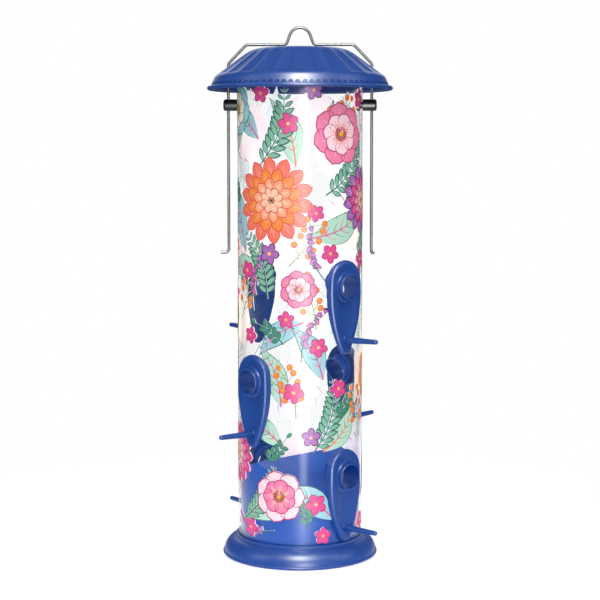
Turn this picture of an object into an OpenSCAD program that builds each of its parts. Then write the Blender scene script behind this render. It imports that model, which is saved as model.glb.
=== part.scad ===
// Hanging tube seed feeder: a clear tube with six perch ports, a flared base,
// a fluted rain lid and a sliding wire bail.
// Millimetres, +Z up. The front is -Y. The origin is the middle of the base rim's underside.

/* [Tube] */
// Outside diameter of the clear seed tube
tube_d = 101.6; // [96:0.2:108]
// Wall thickness of the tube
tube_wall = 2; // [1.6:0.1:3]
// Length of the tube, from its seat in the base to its top edge
tube_len = 390; // [384:1:400]

/* [Base] */
// Outside diameter of the base rim
base_d = 127.4; // [122:0.2:136]
// Height of the base, up to the lip round the tube
base_h = 16.6; // [14:0.2:17]
// Radius of the flare's round outside
flare_r = 13.4; // [11:0.2:14]
// Width of the lip round the tube
lip_w = 1.6; // [1.2:0.1:2.4]
// How far the foot bead stands out from the flare
bead_stand = 0.9; // [0.4:0.1:1.2]
// Wall thickness of the base moulding
base_wall = 2.2; // [1.8:0.1:2.6]
// Height of the rolled bead round the foot
bead_h = 2.6; // [2:0.1:3.4]
// Height of the underside of the base floor
floor_z = 4; // [3.6:0.1:5]
// Thickness of the base floor
floor_t = 2; // [1.6:0.1:3]
// Diameter of the rain drain holes
drain_d = 4; // [3:0.5:6]
// Number of drain holes
drain_count = 8; // [4:1:10]
// Distance of the drain holes from the axis
drain_ring_r = 24; // [16:1:28]

/* [Base screws] */
// Number of screws that hold the deflector in the base
screw_count = 3; // [3:1:4]
// Thread diameter of a base screw
screw_d = 3; // [2.5:0.1:4]
// Head diameter of a base screw
screw_head_d = 6.4; // [5.5:0.1:8]
// Head height of a base screw
screw_head_h = 2.2; // [1.6:0.1:2.6]
// Length of a base screw under its head
screw_len = 14; // [10:1:20]
// Distance of the screws from the axis
screw_ring_r = 36; // [32:1:40]
// Outside diameter of the screw bosses under the deflector
boss_d = 8; // [7:0.5:10]

/* [Seed deflector] */
// Height of the deflector's ridge
ridge_z = 81; // [74:1:92]
// Wall thickness of the deflector
deflector_wall = 2; // [1.6:0.1:3]

/* [Ports] */
// Distance from one pair of ports to the next
port_pitch = 76; // [76:0.5:80]
// Height of one port's outline
port_h = 75.4; // [70:0.2:75.4]
// Greatest width of one port
port_w = 34; // [30:0.5:36]
// Height of the lowest port's bottom tip
port_foot_z = 17.1; // [17:0.1:24]
// Height of the widest place above the bottom tip
port_wide_h = 50; // [46:0.5:54]
// Radius of the long side curves
port_side_r = 100; // [95:1:130]
// How far the port's rim stands off the tube
port_rise = 3.4; // [3:0.1:4.4]
// Radius of the round along the rim's outer edge
port_round = 2.4; // [1.5:0.1:2.4]
// Width of the rim between the outline and the dish
rim_w = 3.6; // [3:0.1:5]
// Thickness of the port where its trough is deepest
trough_floor = 1.3; // [1:0.1:1.8]
// Radius of the trough across its width
trough_r = 30; // [24:1:40]
// Angle of the top and bottom pairs from the front
port_turn = 45; // [40:1:50]

/* [Port mouth] */
// Height of the mouth's centre above the bottom tip
mouth_h = 54; // [52:0.5:57]
// Bore of the mouth
mouth_bore = 19; // [17:0.1:20]
// Wall of the mouth's sleeve
mouth_wall = 1.2; // [1:0.1:1.6]
// How far the mouth's lip stands off the tube
mouth_rise = 8.2; // [7:0.1:10]
// Radius of the flare where the sleeve meets the dish
mouth_flare = 2.6; // [1.5:0.1:3]
// How deep the sleeve's hood reaches into the tube
hood_reach = 12; // [8:0.5:16]
// How deep the sleeve's lower lip reaches into the tube
lower_reach = 4; // [2:0.1:5]

/* [Perches] */
// Height of the perch root above the bottom tip
perch_h = 11.5; // [10:0.5:13]
// How far the perch tip stands off the tube
perch_reach = 36.8; // [30:0.2:42]
// Diameter of the perch at its root
perch_root_d = 5.4; // [4.5:0.1:7]
// Diameter of the perch at its tip
perch_tip_d = 3.8; // [3:0.1:4.4]
// Radius of the flare at the perch's root
perch_flare = 2; // [1:0.1:2.4]
// Rise of the perch towards its tip
perch_tilt = 2; // [0:0.5:4]

/* [Locking rings] */
// Outside diameter of the ring that locks a port inside the tube
ring_d = 26; // [25:0.5:28]
// Thickness of a locking ring beside the tube wall
ring_t = 2.4; // [2:0.1:3]

/* [Lid] */
// Outside diameter of the lid's bead
lid_d = 150.6; // [146:0.2:156]
// Height of the lid's top above the tube's top edge
lid_rise = 17.5; // [16:0.5:20]
// Depth of the lid from its top to the middle of its bead
lid_depth = 32; // [30:0.5:36]
// Radius where the flat top starts to fall away
crown_r = 30; // [26:0.5:34]
// Radius of the round between the flat top and the slope
crown_round = 25; // [18:1:30]
// Radius of the shoulder above the skirt
shoulder_r = 69; // [67:0.2:70]
// Height of the shoulder above the middle of the bead
shoulder_h = 9.4; // [8:0.2:11]
// Wall thickness of the lid
lid_wall = 2.6; // [2.2:0.1:3]
// Radius of the rolled bead round the lid's edge
lid_bead_r = 1.7; // [1.3:0.1:2]
// Depth of the ring that locates the lid inside the tube
pilot_h = 6; // [3:0.5:10]
// Number of flutes round the slope
flute_count = 27; // [18:1:32]
// Depth of a flute at its outer end
flute_depth = 1.3; // [0.6:0.1:1.5]
// Radius of the scoop that cuts a flute
flute_r = 14; // [10:0.5:18]
// Number of small scallops round the skirt
scallop_count = 84; // [60:2:90]
// Height of a scallop above the bead
scallop_h = 2; // [1.4:0.1:2.2]
// Depth of a scallop
scallop_depth = 0.4; // [0.2:0.05:0.6]
// Diameter of the holes that the bail's legs pass through
leg_hole_d = 4; // [3.4:0.1:5]

/* [Bail] */
// Wire diameter of the bail
wire_d = 2.4; // [2:0.1:2.8]
// Distance of each leg from the axis
leg_r = 58.2; // [57:0.1:60]
// Height of the hanging loop's top above the lid
loop_rise = 18; // [15:0.5:24]
// Bend radius of the hanging loop
loop_r = 8.7; // [7:0.1:10]
// Lean of the loop's sides
loop_flare = 20; // [10:1:25]
// Half length of the straight that lies across the lid
span_r = 43.5; // [40:0.5:46]
// Bend radius of the small bends
bend_r = 3; // [2.5:0.1:4]
// Length of the turned foot from the leg's centre
foot_len = 6.5; // [6:0.1:9]
// Length of the bail's legs below the middle of the guides
leg_below = 119.8; // [100:0.2:130]

/* [Guides] */
// Diameter of a guide barrel
guide_d = 9.4; // [8.5:0.1:11]
// Distance of the guides' middle below the tube's top edge
guide_drop = 28; // [26:0.5:32]
// How far a guide reaches past the middle of the wire
guide_past = 4; // [3:0.1:6]
// Diameter of the stem through the tube wall
guide_stem_d = 5.6; // [5:0.1:6.4]
// Thickness of the cap inside the tube
cap_t = 2.6; // [2:0.1:3.5]

/* [Fits] */
// Radial clearance of the wire in its guides
wire_fit = 0.1; // [0.08:0.01:0.2]
// Gap round the tube's foot and the parts that are pushed together
push_gap = 0.15; // [0.1:0.05:0.2]
// Gap between parts that rest on or slide past each other
rest_gap = 0.3; // [0.2:0.05:0.35]

/* [Hidden] */
$fn = 96;
tube_r = tube_d / 2;
bore_r = tube_r - tube_wall;
seat_z = floor_z + floor_t;
tube_top = seat_z + tube_len;
lid_top = tube_top + lid_rise;
guide_z = tube_top - guide_drop;
foot_z = guide_z - leg_below;
lid_bead_z = lid_top - lid_depth;
mouth_r = mouth_bore / 2 + mouth_wall;
port_names = ["bottom", "middle", "top"];
guide_sides = [-1, 1];
cut = 1;

blue = "#3560b0";
wire_grey = "#a9aca8";
guide_black = "#22242a";

// Foot height and turn of each level of ports; the middle pair is crossed.
function level_z(i) = port_foot_z + i * port_pitch;
function level_turn(i) = i == 1 ? port_turn - 90 : port_turn;

// Places a port's piece: local -Y points outwards from the tube, local z = 0 is its bottom tip.
module at_port(level, back) {
    rotate([0, 0, level_turn(level) + (back ? 180 : 0)])
        translate([0, 0, level_z(level)]) children();
}

// Lays a 2D outline, drawn as x and height, against the tube and extrudes it outwards.
module facing_out(from_r, to_r) {
    translate([0, -from_r, 0]) rotate([90, 0, 0])
        linear_extrude(to_r - from_r) children();
}

// A radial cylinder from one radius to another, pointing to the front.
module radial_rod(r, from_r, to_r, z = 0) {
    translate([0, -from_r, z]) rotate([90, 0, 0]) cylinder(r = r, h = to_r - from_r);
}

// ---- Tube ----
module tube() {
    color("#e8f0f4", 0.4) difference() {
        translate([0, 0, seat_z]) cylinder(r = tube_r, h = tube_len);
        translate([0, 0, seat_z - cut]) cylinder(r = bore_r, h = tube_len + 2 * cut);
        for (level = [0 : 2], back = [false, true])
            at_port(level, back)
                radial_rod(mouth_r + push_gap, bore_r - 5, tube_r + cut, mouth_h);
        for (side = guide_sides)
            rotate([0, 0, side * 90])
                radial_rod(guide_stem_d / 2 + push_gap, bore_r - 5, tube_r + cut, guide_z);
    }
}

// ---- Base ----
rim_r = base_d / 2;
socket_r = tube_r + push_gap;
lip_r = socket_r + lip_w;

// The base's section: a socket and floor for the tube inside a hollow, rounded flare.
module base_section() {
    flare_at = [rim_r - bead_stand - flare_r, bead_h / 2];
    difference() {
        union() {
            intersection() {
                translate(flare_at) circle(flare_r);
                translate([socket_r, 0]) square([rim_r, base_h]);
            }
            translate([socket_r, floor_z]) square([lip_w, base_h - floor_z]);
            translate([0, floor_z]) square([lip_r, floor_t]);
        }
        intersection() {
            translate(flare_at) circle(flare_r - base_wall);
            translate([lip_r, -cut]) square([rim_r, base_h]);
        }
        translate([0, -cut]) square([lip_r, floor_z + cut]);
    }
}

module base_dish() {
    color(blue) difference() {
        union() {
            rotate_extrude() base_section();
            rotate_extrude() translate([rim_r - bead_h / 2, bead_h / 2]) circle(bead_h / 2);
        }
        for (i = [0 : drain_count - 1])
            rotate([0, 0, i * 360 / drain_count])
                translate([drain_ring_r, 0, floor_z - cut]) cylinder(d = drain_d, h = floor_t + 2 * cut);
        at_screws() translate([0, 0, floor_z - cut])
            cylinder(d = screw_d + 2 * push_gap, h = floor_t + 2 * cut);
    }
}

module at_screws() {
    for (i = [0 : screw_count - 1])
        rotate([0, 0, i * 360 / screw_count]) translate([screw_ring_r, 0, 0]) children();
}

module base_screws() {
    color("silver") at_screws() {
        difference() {
            translate([0, 0, floor_z - screw_head_h]) cylinder(d = screw_head_d, h = screw_head_h);
            for (turn = [0, 90])
                rotate([0, 0, turn]) translate([-screw_head_d * 0.3, -0.4, floor_z - screw_head_h - cut])
                    cube([screw_head_d * 0.6, 0.8, cut + 0.9]);
        }
        translate([0, 0, floor_z]) cylinder(d = screw_d, h = screw_len - 1.5);
        translate([0, 0, floor_z + screw_len - 1.5]) cylinder(d1 = screw_d, d2 = 1, h = 1.5);
    }
}

// ---- Seed deflector ----
skin_r = bore_r - rest_gap;
eave_z = port_foot_z + mouth_h - mouth_r - 1;
fall = atan((ridge_z - eave_z) / bore_r);
ring_sag = bore_r - sqrt(pow(bore_r, 2) - pow(ring_d / 2, 2));
pocket_r = bore_r - ring_sag - ring_t - rest_gap;

// A block whose top is the roof, lowered by drop: the ridge runs along X.
module under_roof(drop) {
    top = ridge_z - drop;
    rotate([90, 0, 90]) translate([0, 0, -2 * bore_r]) linear_extrude(4 * bore_r)
        polygon([[-tube_r, 0], [tube_r, 0], [tube_r, top - tube_r * tan(fall)], [0, top],
                 [-tube_r, top - tube_r * tan(fall)]]);
}

// Outer form of the deflector: a plug that fills the tube's foot and ends in the roof.
module deflector_form() {
    intersection() {
        translate([0, 0, seat_z]) cylinder(r = skin_r, h = ridge_z);
        rotate([0, 0, port_turn]) under_roof(0);
    }
}

// The hollow inside, open below.
module deflector_hollow() {
    difference() {
        intersection() {
            translate([0, 0, seat_z - cut]) cylinder(r = skin_r - deflector_wall, h = ridge_z);
            rotate([0, 0, port_turn]) under_roof(deflector_wall / cos(fall));
        }
        at_screws() translate([0, 0, seat_z - 2 * cut]) cylinder(d = boss_d, h = ridge_z);
        for (back = [false, true])
            at_port(0, back)
                radial_rod(ring_d / 2 + rest_gap + deflector_wall, pocket_r - deflector_wall, tube_r, mouth_h);
    }
}

module seed_deflector() {
    color(blue) difference() {
        deflector_form();
        deflector_hollow();
        at_screws() translate([0, 0, seat_z - cut])
            cylinder(d = screw_d + 2 * push_gap, h = screw_len + cut);
        for (back = [false, true])
            at_port(0, back) radial_rod(ring_d / 2 + rest_gap, pocket_r, tube_r, mouth_h);
    }
}

// ---- Ports ----
// Radius of the end circle that fits between the side arcs and reaches len from the widest place.
function end_r(half, side_r, len) =
    (pow(side_r, 2) - pow(side_r - half, 2) - pow(len, 2)) / (2 * (side_r - len));

// Points along an arc from angle a to angle b in a number of steps.
function arc(x, y, r, a, b, steps) =
    [for (i = [0 : steps]) [x + r * cos(a + (b - a) * i / steps), y + r * sin(a + (b - a) * i / steps)]];

// The right half of the drop outline, from the bottom tip to the top, drawn in by inset.
function drop_half(inset) =
    let (side_r = port_side_r - inset, half = port_w / 2 - inset,
         up = port_h - port_wide_h - inset, down = port_wide_h - inset,
         top_r = end_r(half, side_r, up), foot_r = end_r(half, side_r, down),
         top_a = asin((up - top_r) / (side_r - top_r)),
         foot_a = asin((down - foot_r) / (side_r - foot_r)))
    concat(arc(0, port_wide_h + foot_r - down, foot_r, -90, -foot_a, 5),
           arc(half - side_r, port_wide_h, side_r, -foot_a + 5, top_a - 2, 5),
           arc(0, port_wide_h + up - top_r, top_r, top_a, 90, 8));

// The drop outline: two long side arcs closed by a round end above and below.
module drop_outline(inset) {
    right = drop_half(inset);
    last = len(right) - 1;
    polygon(concat(right, [for (i = [last - 1 : -1 : 1]) [-right[i][0], right[i][1]]]));
}

// The drop outline as a slab of height h whose upper edge is rounded in three steps.
module drop_slab(h, round) {
    hull() for (a = [0, 30, 60, 90])
        linear_extrude(h - round + round * sin(a)) drop_outline(round - round * cos(a));
}

back_r = tube_r + push_gap;
rim_top_r = tube_r + port_rise;
mouth_top_r = tube_r + mouth_rise;

// The trough inside the rim: a long scoop, shallower towards both ends.
module port_trough() {
    floor_r = back_r + trough_floor;
    bow_r = pow(port_h / 2, 2) / (2 * (rim_top_r - floor_r));
    intersection() {
        facing_out(back_r, rim_top_r + cut) drop_outline(rim_w);
        translate([0, -floor_r - trough_r, port_h / 2])
            rotate_extrude($fn = 180) polygon(concat([[0, -port_h / 2]],
                arc(trough_r - bow_r, 0, bow_r, -asin(port_h / 2 / bow_r), asin(port_h / 2 / bow_r), 8),
                [[0, port_h / 2]]));
    }
}

// Outside of the mouth's sleeve, along its axis: flare at the dish and a rounded lip.
module mouth_section() {
    lip = mouth_wall / 2;
    flare_top = rim_top_r - 1 + mouth_flare;
    translate([0, bore_r - hood_reach - cut])
        square([mouth_r, mouth_top_r - lip - bore_r + hood_reach + cut]);
    square_w = mouth_r - mouth_wall / 2;
    translate([0, tube_r]) square([square_w, mouth_rise]);
    translate([mouth_r - lip, mouth_top_r - lip]) circle(lip);
    difference() {
        translate([0, back_r + 0.5]) square([mouth_r + mouth_flare, flare_top - back_r - 0.5]);
        translate([mouth_r + mouth_flare, flare_top]) circle(mouth_flare);
    }
}

// Turns a section drawn as radius and height into a solid round the mouth's axis.
module round_mouth() {
    translate([0, 0, mouth_h]) rotate([90, 0, 0]) rotate_extrude() children();
}

// What lies above the slanted inner end of the sleeve, which makes a hood over the opening.
module hood_limit() {
    deep = hood_reach - lower_reach;
    slant = atan(deep / (2 * mouth_r));
    translate([0, -(bore_r - lower_reach), mouth_h - mouth_r]) rotate([-slant, 0, 0])
        translate([-mouth_r - cut, -3 * mouth_bore, -mouth_bore])
            cube([2 * (mouth_r + cut), 3 * mouth_bore, 3 * mouth_bore]);
}

module perch() {
    tip_r = perch_tip_d / 2;
    len = perch_reach - tip_r;
    translate([0, -tube_r, perch_h]) rotate([90 - perch_tilt, 0, 0]) {
        translate([0, 0, 0.6]) cylinder(d1 = perch_root_d, d2 = perch_tip_d, h = len - 0.6);
        translate([0, 0, len]) sphere(tip_r);
        translate([0, 0, 0.6]) rotate_extrude() difference() {
            square([perch_root_d / 2 + perch_flare, perch_flare + 1]);
            translate([perch_root_d / 2 + perch_flare, perch_flare + 1]) circle(perch_flare);
        }
    }
}

module port(level, back) {
    color(blue) at_port(level, back) difference() {
        union() {
            difference() {
                translate([0, -(tube_r - 6), 0]) rotate([90, 0, 0])
                    drop_slab(port_rise + 6, port_round);
                port_trough();
            }
            intersection() {
                round_mouth() mouth_section();
                hood_limit();
            }
            perch();
        }
        difference() {
            translate([0, 0, -cut]) cylinder(r = back_r, h = port_h + 2 * cut);
            radial_rod(mouth_r, 0, tube_r + cut, mouth_h);
        }
        radial_rod(mouth_bore / 2, 0, mouth_top_r + cut, mouth_h);
    }
}

// ---- Locking rings ----
module ring(level, back) {
    color(blue) at_port(level, back) difference() {
        intersection() {
            radial_rod(ring_d / 2, bore_r - ring_sag - ring_t, bore_r, mouth_h);
            cylinder(r = bore_r - push_gap, h = port_h);
        }
        radial_rod(mouth_r + push_gap, 0, tube_r, mouth_h);
    }
}

// ---- Guides ----
// A barrel outside the tube with a thinner stem through its wall.
module guide(side) {
    edge = 0.8;
    tip_r = leg_r + guide_past;
    color(guide_black) translate([0, 0, guide_z]) rotate([0, 0, side * 90]) difference() {
        rotate([90, 0, 0]) rotate_extrude() polygon([
            [0, bore_r - cap_t], [guide_stem_d / 2, bore_r - cap_t], [guide_stem_d / 2, back_r],
            [guide_d / 2, back_r], [guide_d / 2, tip_r - 2 * edge],
            [guide_d / 2 - 0.3 * edge, tip_r - edge], [guide_d / 2 - edge, tip_r - 0.3 * edge],
            [guide_d / 2 - 2 * edge, tip_r], [0, tip_r]]);
        translate([0, -leg_r, -guide_d]) cylinder(d = wire_d + 2 * wire_fit, h = 2 * guide_d);
    }
}

// The push-on cap that holds a guide's stem inside the tube.
module guide_cap(side) {
    color(guide_black) translate([0, 0, guide_z]) rotate([0, 0, side * 90]) difference() {
        intersection() {
            radial_rod(guide_d / 2, bore_r - cap_t, bore_r);
            translate([0, 0, -guide_d]) cylinder(r = bore_r - push_gap, h = 2 * guide_d);
        }
        radial_rod(guide_stem_d / 2 + push_gap, 0, tube_r);
    }
}

// ---- Lid ----
// skirt_lap is how far the bead overlaps the foot of the skirt, and seat_lap how far the
// seat ring reaches past the tube's wall.
skirt_lap = 0.4;
seat_lap = 1.4;
fade_share = 0.8;
shoulder_z = lid_bead_z + shoulder_h;
crown_z = lid_top - crown_round;
seam_turn = 0.8 * 360 / flute_count;
crown_to_shoulder = sqrt(pow(shoulder_r - crown_r, 2) + pow(crown_z - shoulder_z, 2));
slope = 90 - acos(crown_round / crown_to_shoulder)
    + atan2(crown_z - shoulder_z, shoulder_r - crown_r);
function slope_z(r) = shoulder_z + (shoulder_r - r) * tan(slope);

skirt_foot_r = lid_d / 2 - 2 * lid_bead_r + skirt_lap;
pilot_r = bore_r - rest_gap;
seat_in_r = pilot_r - lid_wall;
seat_out_r = tube_r + seat_lap;

// One face of the lid's wall, drawn in by inset, from the axis out to the bead.
function lid_face(inset) = concat(
    [[0, lid_top - inset]],
    arc(crown_r, crown_z, crown_round - inset, 90, 90 - slope, 8),
    [[shoulder_r - inset * sin(slope), shoulder_z - inset * cos(slope)],
     [shoulder_r + 1.5 - inset, shoulder_z - 2.6]]);

// The height of the wall's inner face above a place on the slope.
function under_z(r) = slope_z(r) - lid_wall / cos(slope);

// The lid's section: the outer face, the bead, the inner face, and the ring that sits on the tube.
module lid_section() {
    inner = lid_face(lid_wall);
    last = len(inner) - 1;
    polygon(concat(
        lid_face(0),
        [[skirt_foot_r, lid_bead_z + lid_bead_r]],
        arc(lid_d / 2 - lid_bead_r, lid_bead_z, lid_bead_r, 90, -150, 10),
        [[skirt_foot_r - lid_wall, lid_bead_z], inner[last], inner[last - 1],
         [seat_out_r, under_z(seat_out_r)], [seat_out_r, tube_top + rest_gap],
         [pilot_r, tube_top + rest_gap], [pilot_r, tube_top - pilot_h],
         [seat_in_r, tube_top - pilot_h], [seat_in_r, under_z(seat_in_r)]],
        [for (i = [last - 2 : -1 : 0]) inner[i]]));
}

// One flute: a round-ended hollow that fades out towards the crown.
module lid_flute() {
    run_in = sqrt(2 * flute_r * flute_depth);
    fade = atan(flute_depth / (fade_share * crown_to_shoulder));
    start_r = shoulder_r - run_in * cos(slope);
    translate([start_r + (flute_r - flute_depth) * sin(slope), 0,
               slope_z(start_r) + (flute_r - flute_depth) * cos(slope)])
        rotate([0, slope + fade - 90, 0]) {
            sphere(flute_r);
            cylinder(r = flute_r, h = crown_to_shoulder);
        }
}

// One arch-shaped scallop, cut into the skirt just above the bead.
module lid_scallop() {
    translate([skirt_foot_r - scallop_depth, 0, lid_bead_z + lid_bead_r])
        rotate([0, 90, 0]) cylinder(r = scallop_h, h = lid_bead_r, $fn = 48);
}

module lid() {
    color(blue) difference() {
        difference() {
            rotate([0, 0, seam_turn]) rotate_extrude() lid_section();
            for (side = guide_sides)
                translate([side * leg_r, 0, lid_bead_z]) cylinder(d = leg_hole_d, h = lid_depth);
        }
        for (i = [0 : flute_count - 1])
            rotate([0, 0, (i + 0.25) * 360 / flute_count]) lid_flute();
        for (i = [0 : scallop_count - 1])
            rotate([0, 0, i * 360 / scallop_count]) lid_scallop();
    }
}

// ---- Bail ----
span_z = lid_top + rest_gap + wire_d / 2;
elbow_z = slope_z(leg_r) + wire_d / 2 / cos(slope) + 3 * rest_gap;
loop_z = lid_top + loop_rise - wire_d / 2 - loop_r;
kink_r = (loop_r + (loop_z - span_z) * sin(loop_flare)) / cos(loop_flare);
apex_z = loop_z + loop_r / sin(loop_flare);
left_foot_turn = 188;
right_foot_turn = -75;
wire_sides = 24;
bend_steps = 8;

// The corners of the bail's line in its own upright plane, each as x, z and its bend radius.
bail_half = [[leg_r, foot_z, 0], [leg_r, elbow_z, bend_r + 1], [span_r, span_z, bend_r + 2],
             [kink_r, span_z, bend_r]];
bail_corners = concat([for (p = bail_half) [-p[0], p[1], p[2]]], [[0, apex_z, loop_r]],
                      [for (i = [3 : -1 : 0]) bail_half[i]]);

// Direction from one corner to the next, and the signed turn at a corner.
function heading(p, q) = atan2(q[1] - p[1], q[0] - p[0]);
function wrap(a) = a > 180 ? a - 360 : a < -180 ? a + 360 : a;
function turn_at(pts, i) = wrap(heading(pts[i], pts[i + 1]) - heading(pts[i - 1], pts[i]));

// The ring of points round the wire at a place, in the plane of two directions square to it.
function wire_ring(place, one, two, twist = 0) = [for (k = [0 : wire_sides - 1])
    let(t = k * 360 / wire_sides - twist) place + wire_d / 2 * (cos(t) * one + sin(t) * two)];

// The rings through the bend at corner i of the upright plane.
function bend_rings(pts, i) =
    let(a = heading(pts[i - 1], pts[i]), turn = turn_at(pts, i), side = sign(turn), r = pts[i][2],
        back = r * tan(abs(turn) / 2),
        middle = [pts[i][0] - back * cos(a) - side * r * sin(a),
                  pts[i][1] - back * sin(a) + side * r * cos(a)])
    [for (k = [0 : bend_steps]) let(b = a + turn * k / bend_steps)
        wire_ring([middle[0] + side * r * sin(b), 0, middle[1] - side * r * cos(b)],
                  [-sin(b), 0, cos(b)], [0, -1, 0])];

// The rings of the foot of the leg at x, from its tip up to the leg. The foot points away at the
// angle out, and rise is 1 on a leg that the line goes up and -1 on one that it comes down.
function foot_rings(x, out, rise) =
    let(lead = [cos(out), sin(out), 0], square = rise * [-sin(out), cos(out), 0],
        twist = rise > 0 ? out - 180 : -out, middle = [x, 0, foot_z + bend_r] + bend_r * lead)
    concat([wire_ring([x, 0, foot_z] + foot_len * lead, [0, 0, 1], square, twist)],
           [for (k = [0 : bend_steps]) let(b = k * 90 / bend_steps, one = [0, 0, cos(b)] + sin(b) * lead)
               wire_ring(middle - bend_r * one, one, square, twist)]);

// A skin over rings of points, closed at both ends.
module skin(rings) {
    n = len(rings[0]);
    last = (len(rings) - 1) * n;
    polyhedron(
        points = [for (ring = rings) for (p = ring) p],
        faces = concat(
            [[for (k = [0 : n - 1]) k]],
            [for (i = [0 : n : last - n]) for (k = [0 : n - 1]) let(m = (k + 1) % n)
                each [[i + k, i + n + k, i + n + m], [i + k, i + n + m, i + m]]],
            [[for (k = [n - 1 : -1 : 0]) last + k]]));
}

module bail() {
    right_foot = foot_rings(leg_r, right_foot_turn, -1);
    color(wire_grey) skin(concat(
        foot_rings(-leg_r, left_foot_turn, 1),
        [for (i = [1 : len(bail_corners) - 2]) each bend_rings(bail_corners, i)],
        [for (i = [len(right_foot) - 1 : -1 : 0]) right_foot[i]]));
}

tube();
base_dish();
base_screws();
seed_deflector();
port(0, false);  // port_bottom_front
port(0, true);  // port_bottom_back
port(1, false);  // port_middle_front
port(1, true);  // port_middle_back
port(2, false);  // port_top_front
port(2, true);  // port_top_back
ring(0, false);  // ring_bottom_front
ring(0, true);  // ring_bottom_back
ring(1, false);  // ring_middle_front
ring(1, true);  // ring_middle_back
ring(2, false);  // ring_top_front
ring(2, true);  // ring_top_back
guide(-1);  // guide_left
guide(1);  // guide_right
guide_cap(-1);  // guide_cap_left
guide_cap(1);  // guide_cap_right
lid();
bail();
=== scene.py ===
# %% [markdown]
# # A hanging tube bird feeder
# The solids of the feeder come ready made, each where it belongs, and they are never moved here.
# This lesson gives every solid a finish, models the pieces whose surface asks for more, and
# prints a floral pattern round the clear tube.

# %% Load the solids
import bpy, bmesh, math
from mathutils import Vector, Matrix
from mathutils.geometry import tessellate_polygon, convex_hull_2d


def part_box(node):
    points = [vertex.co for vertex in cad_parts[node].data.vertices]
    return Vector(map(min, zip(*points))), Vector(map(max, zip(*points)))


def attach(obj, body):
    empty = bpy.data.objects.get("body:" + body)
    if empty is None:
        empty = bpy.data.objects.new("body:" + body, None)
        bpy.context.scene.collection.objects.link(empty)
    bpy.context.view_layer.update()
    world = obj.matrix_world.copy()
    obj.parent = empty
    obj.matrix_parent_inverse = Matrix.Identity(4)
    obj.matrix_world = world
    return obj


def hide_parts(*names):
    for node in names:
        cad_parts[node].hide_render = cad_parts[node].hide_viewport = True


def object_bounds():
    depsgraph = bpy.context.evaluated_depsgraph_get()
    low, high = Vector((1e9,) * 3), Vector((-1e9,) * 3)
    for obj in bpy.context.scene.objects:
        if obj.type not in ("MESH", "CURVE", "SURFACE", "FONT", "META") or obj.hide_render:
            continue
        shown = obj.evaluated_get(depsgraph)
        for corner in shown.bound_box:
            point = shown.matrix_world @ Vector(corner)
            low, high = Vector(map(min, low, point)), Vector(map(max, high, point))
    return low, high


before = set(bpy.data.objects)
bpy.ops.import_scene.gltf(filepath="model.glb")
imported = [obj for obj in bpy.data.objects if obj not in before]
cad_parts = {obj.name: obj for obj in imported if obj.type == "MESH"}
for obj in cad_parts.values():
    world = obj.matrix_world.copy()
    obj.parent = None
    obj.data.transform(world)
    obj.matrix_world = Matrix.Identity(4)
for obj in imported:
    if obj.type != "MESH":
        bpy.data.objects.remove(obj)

cad_low, cad_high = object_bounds()
MM = 0.001
print("solids:", len(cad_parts), "top at", round(cad_high.z / MM, 1), "mm")

# %% [markdown]
# The tube's sizes are read off the solids, so that the print made here always fits it. The lid
# and the wire are drawn from typed sizes that follow the same solids.

# %% Sizes that the pieces share
tube_low, tube_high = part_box("tube")
TUBE_R = (tube_high.x - tube_low.x) / 2
TUBE_TOP = tube_high.z / MM
LEG = 58.2              # from the axis to the middle of each of the bail's legs, in mm
PORTS = [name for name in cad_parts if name.startswith("port_")]
print("tube radius", round(TUBE_R / MM, 1), "top", round(TUBE_TOP, 1), "mm,", len(PORTS), "ports")


# %% [markdown]
# ## Tools for materials
# Colours are written as the eye sees them, as hex values. Blender wants linear light, so one
# function turns them. Another adds a node with its settings and its links in one line.

# %% Colour and node helpers
def linear(code):
    parts = [int(code[i:i + 2], 16) / 255 for i in (1, 3, 5)]
    return [c / 12.92 if c <= 0.04045 else ((c + 0.055) / 1.055) ** 2.4 for c in parts] + [1.0]


def add_node(tree, kind, settings=None, links=None, **values):
    node = tree.nodes.new(kind)
    for name, value in (settings or {}).items():
        setattr(node, name, value)
    for name, value in values.items():
        node.inputs[name.replace("_", " ")].default_value = value
    for name, source in (links or {}).items():
        tree.links.new(source, node.inputs[name])
    return node


def new_material(name):
    material = bpy.data.materials.new(name)
    material.use_nodes = True
    material.node_tree.nodes.clear()
    return material, material.node_tree


def show(tree, shader):
    out = add_node(tree, "ShaderNodeOutputMaterial")
    tree.links.new(shader, out.inputs["Surface"])


def wear(piece, material):
    piece.data.materials.clear()
    piece.data.materials.append(material)


# %% [markdown]
# ## The camera
# A product camera stands well back with a long lens, so that the tube's sides stay nearly
# parallel. It looks from just under the height of the lid, tilted a little down.

# %% Place the camera
camera_data = bpy.data.cameras.new("product_camera")
camera_data.lens = 90.3
camera_data.sensor_width = 36
camera_data.shift_y = -0.03
camera = bpy.data.objects.new("product_camera", camera_data)
bpy.context.scene.collection.objects.link(camera)
CAMERA_AZIMUTH, CAMERA_AWAY, CAMERA_HEIGHT, CAMERA_PITCH = 1.3, 1.2297, 0.3269, 4.79
turn = math.radians(CAMERA_AZIMUTH)
camera.location = (math.sin(turn) * CAMERA_AWAY, -math.cos(turn) * CAMERA_AWAY, CAMERA_HEIGHT)
camera.rotation_euler = (math.radians(90 - CAMERA_PITCH), 0, turn)
bpy.context.scene.camera = camera
bpy.context.scene.view_settings.view_transform = "Standard"
print("camera", round(CAMERA_AWAY, 2), "m away,", round(CAMERA_HEIGHT, 2), "m up")

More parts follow.
